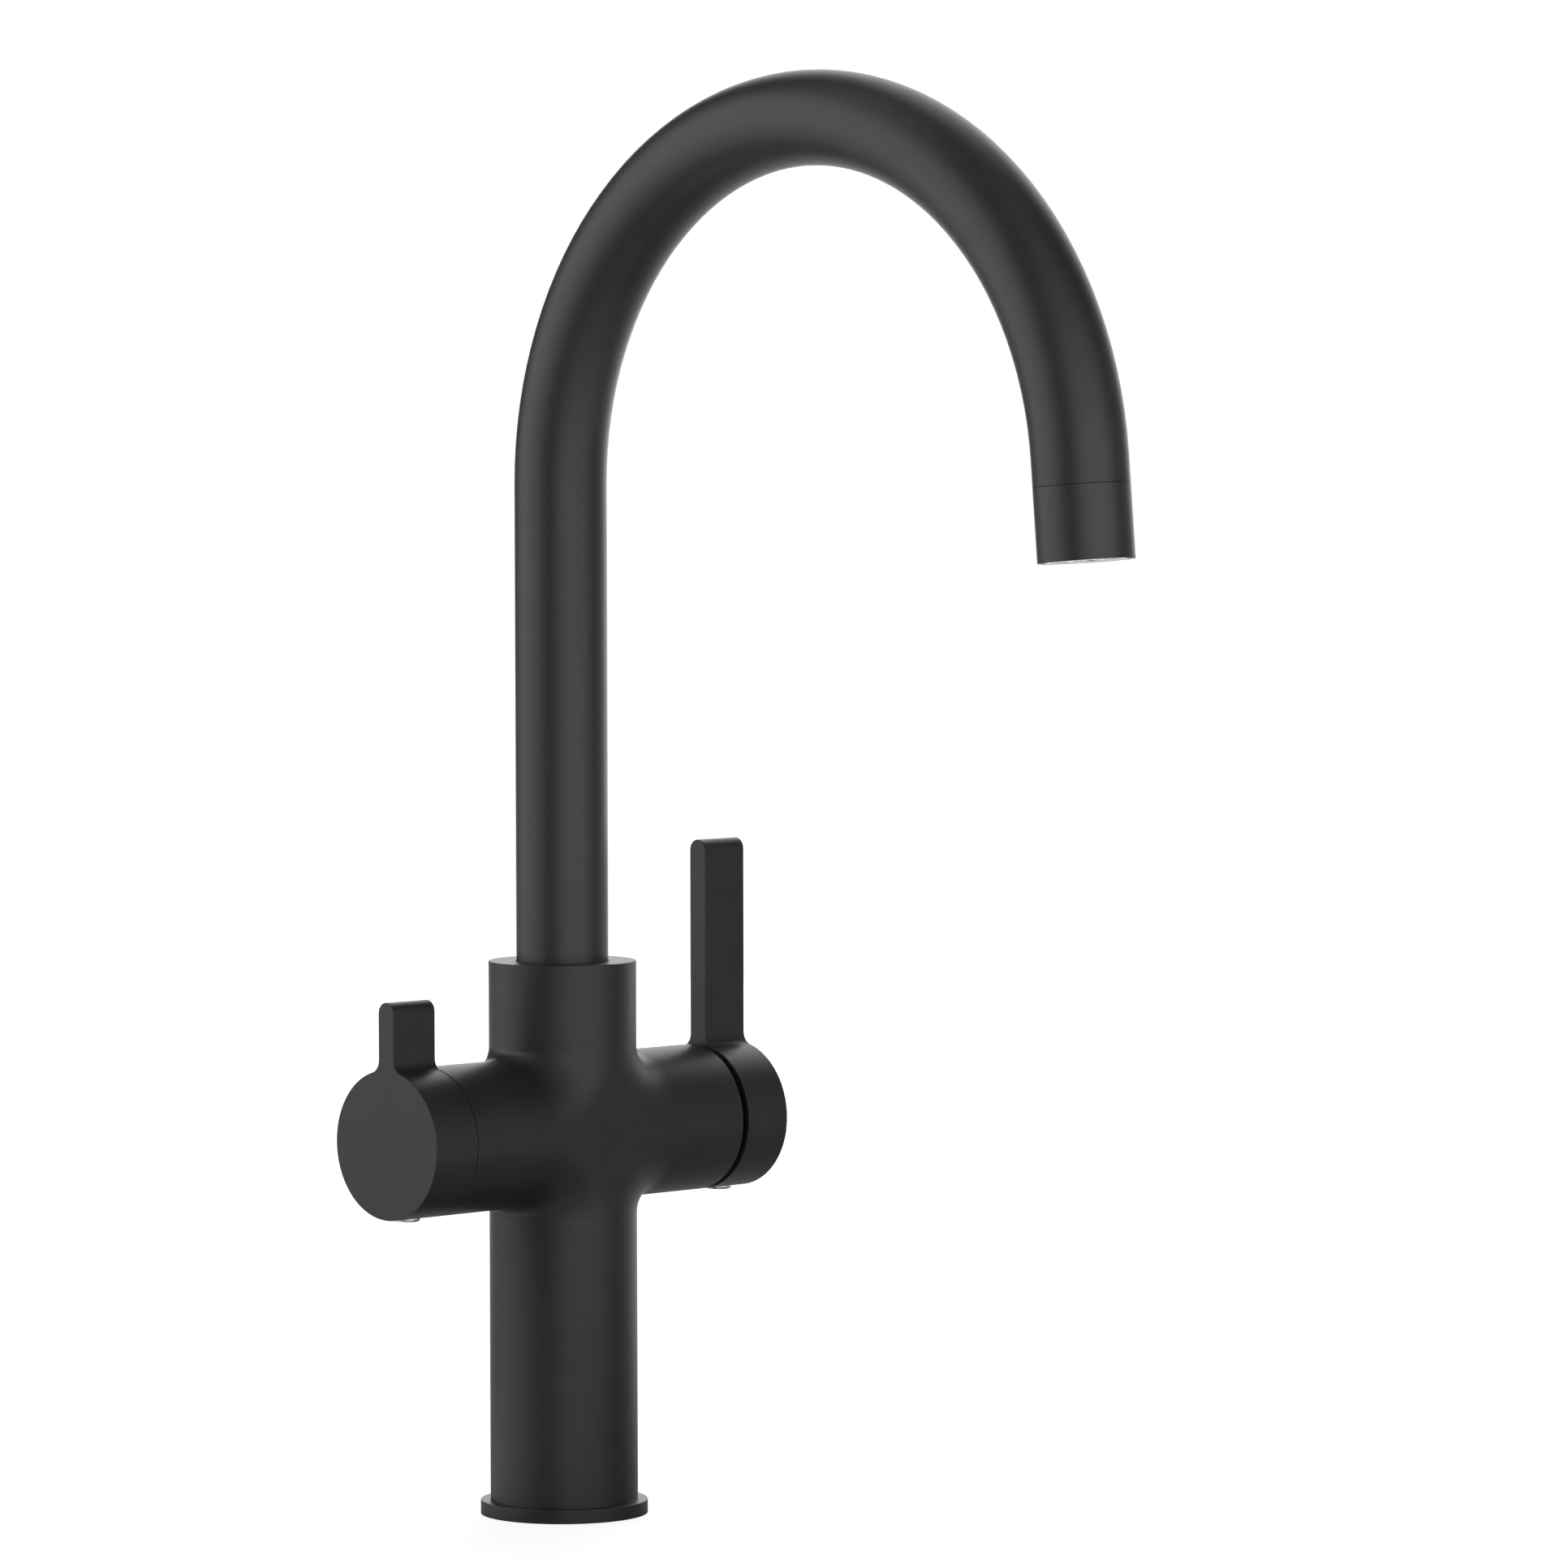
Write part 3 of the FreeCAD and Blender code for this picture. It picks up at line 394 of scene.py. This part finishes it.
def plug_cap(name, node, body):
    """A disc with a rounded face below and a stem above, in the place of a plain plug."""
    low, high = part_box(node)
    stem_length = high[2] - low[2] - plug_head
    above_rounding = (plug_rounding + plug_head) / 2
    cap = bmesh.new()
    bmesh.ops.create_circle(cap, cap_ends=True, segments=plug_sides, radius=plug_radius)
    head = bmesh.ops.extrude_face_region(cap, geom=cap.faces[:])
    raised = [item for item in head["geom"] if isinstance(item, bmesh.types.BMVert)]
    bmesh.ops.translate(cap, verts=raised, vec=(0.0, 0.0, plug_head))
    rim = [edge for edge in cap.edges if all(vert.co.z < plug_head / 2 for vert in edge.verts)]
    bmesh.ops.bevel(cap, geom=rim, offset=plug_rounding, affect="EDGES", segments=rounding_steps,
                    profile=0.5, material=-1)
    top = [face for face in cap.faces if all(vert.co.z > above_rounding for vert in face.verts)]
    bmesh.ops.inset_region(cap, faces=top, thickness=plug_radius - plug_stem_radius)
    stem = bmesh.ops.extrude_face_region(cap, geom=top)
    raised = [item for item in stem["geom"] if isinstance(item, bmesh.types.BMVert)]
    bmesh.ops.translate(cap, verts=raised, vec=(0.0, 0.0, stem_length))
    bmesh.ops.delete(cap, geom=top, context="FACES")
    bmesh.ops.recalc_face_normals(cap, faces=cap.faces[:])
    middle = (Vector(low) + Vector(high)) / 2
    bmesh.ops.translate(cap, verts=cap.verts[:], vec=(middle.x, middle.y, low[2]))
    mesh = bpy.data.meshes.new(name)
    cap.to_mesh(mesh)
    cap.free()
    mesh.materials.append(gloss_black)
    mesh.shade_smooth()
    mesh.set_sharp_from_angle(angle=sharpest_smooth_edge)
    piece = bpy.data.objects.new(name, mesh)
    bpy.context.scene.collection.objects.link(piece)
    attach(piece, body)
    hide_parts(node)


plug_cap("mixer_plug_cap", "mixer_plug", "mixer_lever")
plug_cap("filter_plug_cap", "filter_plug", "filter_lever")


# Floor: a plain pale surface, white to the camera, that keeps a faint shadow of the tap. Painted
# pools of light glow on it where the soft boxes stand and close round the tap, seen only by
# reflected and refracted rays, so the coat and the plugs mirror painted light.

floor_reach = 6.0
floor_grey = 0.22
floor_glow = (1.0, 1.0, 1.0)

floor_shape = bmesh.new()
bmesh.ops.create_grid(floor_shape, x_segments=1, y_segments=1, size=floor_reach)
floor_mesh = bpy.data.meshes.new("floor")
floor_shape.to_mesh(floor_mesh)
floor_shape.free()
floor = bpy.data.objects.new("floor", floor_mesh)
bpy.context.scene.collection.objects.link(floor)
floor_paint, tree, shader, place = new_finish("floor_white", roughness=0.9)
shader.inputs["Base Color"].default_value = (floor_grey, floor_grey, floor_grey, 1.0)
shader.inputs["Emission Color"].default_value = (*floor_glow, 1.0)


def glow_from(tree, place, middle, near, far, near_glow, far_glow):
    """A glow that changes evenly between two distances from a point."""
    away = tree.nodes.new("ShaderNodeVectorMath")
    away.operation = "DISTANCE"
    away.inputs[1].default_value = middle
    tree.links.new(place, away.inputs[0])
    glow = tree.nodes.new("ShaderNodeMapRange")
    glow.inputs["From Min"].default_value = near
    glow.inputs["From Max"].default_value = far
    glow.inputs["To Min"].default_value = near_glow
    glow.inputs["To Max"].default_value = far_glow
    tree.links.new(away.outputs["Value"], glow.inputs["Value"])
    return glow.outputs["Result"]


# Painted light: glowing patches on the floor, each fading out between its near and far distance.
painted_light_patches = (
    dict(middle=(1.72, 1.0, 0.0), near=1.3, far=1.95, near_glow=1.0),
    dict(middle=(-1.17, 1.02, 0.0), near=0.9, far=1.2, near_glow=0.9),
    dict(middle=(-0.3, -1.52, 0.0), near=0.9, far=1.4, near_glow=1.0),
    dict(middle=(0.16, 0.24, 0.0), near=0.12, far=0.3, near_glow=0.32),
    dict(middle=(-0.12, 0.11, 0.0), near=0.07, far=0.15, near_glow=0.8),
    dict(middle=(-0.1, -0.13, 0.0), near=0.05, far=0.13, near_glow=0.5),
)
path = tree.nodes.new("ShaderNodeLightPath")
white = glow_from(tree, place, middle=(0.0, 0.0, 0.0), near=0.2, far=1.2,
                  near_glow=0.84, far_glow=1.0)
to_camera = arithmetic(tree, "MULTIPLY", path.outputs["Is Camera Ray"], white)
# The painted patches glow only for reflected and refracted rays, as painted reflections in the
# coat.
painted_patch_glow = 0.0
for patch in painted_light_patches:
    painted_patch_glow = arithmetic(tree, "MAXIMUM", painted_patch_glow, glow_from(tree, place, far_glow=0.0, **patch))
mirrored = arithmetic(tree, "MAXIMUM", path.outputs["Is Glossy Ray"],
                      path.outputs["Is Transmission Ray"])
to_coat = arithmetic(tree, "MULTIPLY", mirrored, painted_patch_glow)
floor_shown = arithmetic(tree, "MAXIMUM", to_camera, to_coat)
tree.links.new(floor_shown, shader.inputs["Emission Strength"])
floor_paint.cycles.emission_sampling = "NONE"
floor_mesh.materials.append(floor_paint)


# Background: a white studio wall behind the floor. The room around the tap is dim apart from that,
# so that the soft boxes shape the black coat.

room_glow = 0.06
wall_glow = 1.0

world = bpy.data.worlds.new("studio")
bpy.context.scene.world = world
world.use_nodes = True
tree = world.node_tree
backdrop = tree.nodes["Background"]
path = tree.nodes.new("ShaderNodeLightPath")
seen = tree.nodes.new("ShaderNodeMapRange")
seen.inputs["To Min"].default_value = room_glow
seen.inputs["To Max"].default_value = wall_glow
straight = arithmetic(tree, "MAXIMUM", path.outputs["Is Camera Ray"],
                      path.outputs["Is Transmission Ray"])
tree.links.new(straight, seen.inputs["Value"])
tree.links.new(seen.outputs["Result"], backdrop.inputs["Strength"])
backdrop.inputs["Color"].default_value = (1.0, 1.0, 1.0, 1.0)


# Lamps: soft boxes in two rows on the left of the picture, in front on the right, and behind,
# with weak ones overhead and on the right. All stand two metres from the tap's middle.

lamp_distance = 2.0
tap_middle = Vector((0.0, -0.06, 0.22))
towards_camera = Vector((-0.703, -0.711, 0.0))
picture_right = Vector((0.711, -0.703, 0.0))
upwards = Vector((0.0, 0.0, 1.0))


def soft_box(name, bearing, rise, width, height, brightness):
    """A panel that faces the tap, placed and sized in degrees as the tap sees it. Bearing 0 is the
    camera's side and 90 the picture's right. Brightness 1 is what a white wall in full light would
    show."""
    turn = math.radians(bearing)
    lift = math.radians(rise)
    level = math.cos(turn) * towards_camera + math.sin(turn) * picture_right
    direction = math.cos(lift) * level + math.sin(lift) * upwards
    lamp = bpy.data.lights.new(name, "AREA")
    lamp.shape = "RECTANGLE"
    lamp.size = 2 * lamp_distance * math.tan(math.radians(width / 2)) * math.cos(lift)
    lamp.size_y = 2 * lamp_distance * math.tan(math.radians(height / 2))
    lamp.energy = math.pi * lamp.size * lamp.size_y * brightness
    panel = bpy.data.objects.new(name, lamp)
    bpy.context.scene.collection.objects.link(panel)
    panel.location = tap_middle + lamp_distance * direction
    panel.rotation_euler = (-direction).to_track_quat("-Z", "Y").to_euler()
    panel.visible_camera = False


soft_box("left_low", bearing=-86.5, rise=6.0, width=77.0, height=24.0, brightness=1.5)
soft_box("left_high", bearing=-86.5, rise=31.5, width=77.0, height=27.0, brightness=1.5)
soft_box("left_top", bearing=-90.0, rise=62.5, width=60.0, height=25.0, brightness=0.8)
soft_box("front_low", bearing=33.5, rise=6.0, width=83.0, height=24.0, brightness=1.85)
soft_box("front_high", bearing=33.5, rise=31.5, width=83.0, height=27.0, brightness=0.95)
soft_box("front_top", bearing=30.0, rise=62.5, width=60.0, height=25.0, brightness=0.5)
soft_box("back_low", bearing=166.5, rise=6.0, width=57.0, height=24.0, brightness=2.3)
soft_box("back_high", bearing=166.5, rise=31.5, width=57.0, height=27.0, brightness=2.3)
soft_box("back_top", bearing=164.0, rise=60.0, width=52.0, height=30.0, brightness=1.4)
soft_box("right_side", bearing=116.0, rise=12.0, width=42.0, height=36.0, brightness=0.28)


# Camera: a long lens over two metres away, a little above the barrel. It sees the end of the
# filtered-water handle and the front of the spout at about the same slant.

viewpoint = Vector((-1.5816, -1.69565, 0.34639))
forward = Vector((0.70211, 0.71007, -0.05333))
tilt = math.radians(-0.124)

camera = bpy.data.objects.new("camera", bpy.data.cameras.new("camera"))
bpy.context.scene.collection.objects.link(camera)
aim = forward.to_track_quat("-Z", "Y").to_matrix().to_4x4()
camera.matrix_world = Matrix.Translation(viewpoint) @ aim @ Matrix.Rotation(tilt, 4, "Z")
camera.data.sensor_width = 36.0
camera.data.lens = 175.27
bpy.context.scene.camera = camera
bpy.context.scene.view_settings.view_transform = "Standard"
